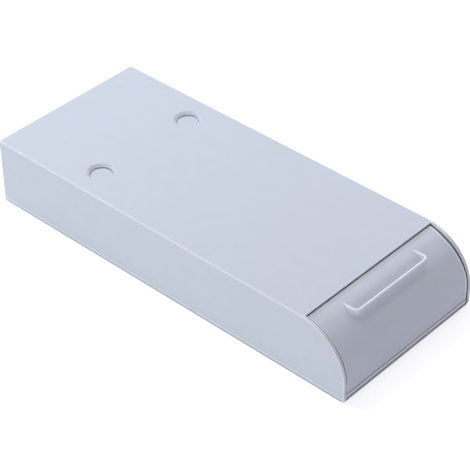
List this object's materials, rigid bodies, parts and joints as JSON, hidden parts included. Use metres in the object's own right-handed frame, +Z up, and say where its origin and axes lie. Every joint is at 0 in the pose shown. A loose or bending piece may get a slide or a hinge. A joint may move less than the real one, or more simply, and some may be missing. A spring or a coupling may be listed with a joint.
{
  "type": "under-desk storage box",
  "caption": "Low, long storage box for under a desk: flat-topped case with a quarter-round nose and a pull-out drawer whose curved front has a raised U-shaped pull.",
  "frame": {"origin": "middle of the case's footprint, on the surface that its underside rests on", "axes": "+Z up, -Y the way the drawer opens (the curved nose), +X to the right of someone who faces the rear from the nose"},
  "size_m": [0.13, 0.315, 0.051],
  "materials": {
    "case_plastic": "pale blue-grey satin moulded plastic with a very fine grain",
    "front_plastic": "pale blue-grey satin moulded plastic, a little smoother than the case",
    "tray_plastic": "pale blue-grey satin moulded plastic, plain inside",
    "screw_steel": "bright zinc-plated steel"
  },
  "bodies": {
    "case": {"case_shell": "case_plastic", "bottom_panel": "case_plastic", "bottom_screw_front_left": "screw_steel", "bottom_screw_rear_left": "screw_steel", "bottom_screw_front_right": "screw_steel", "bottom_screw_rear_right": "screw_steel"},
    "drawer": {"drawer_tray": "tray_plastic", "drawer_front": "front_plastic", "front_screw_left_lower": "screw_steel", "front_screw_left_upper": "screw_steel", "front_screw_right_lower": "screw_steel", "front_screw_right_upper": "screw_steel"}
  },
  "joints": [
    {"name": "drawer_slide", "type": "slide", "parent": "case", "child": "drawer", "axis": [0, -1, 0], "range_m": [0, 0.2235]}
  ]
}
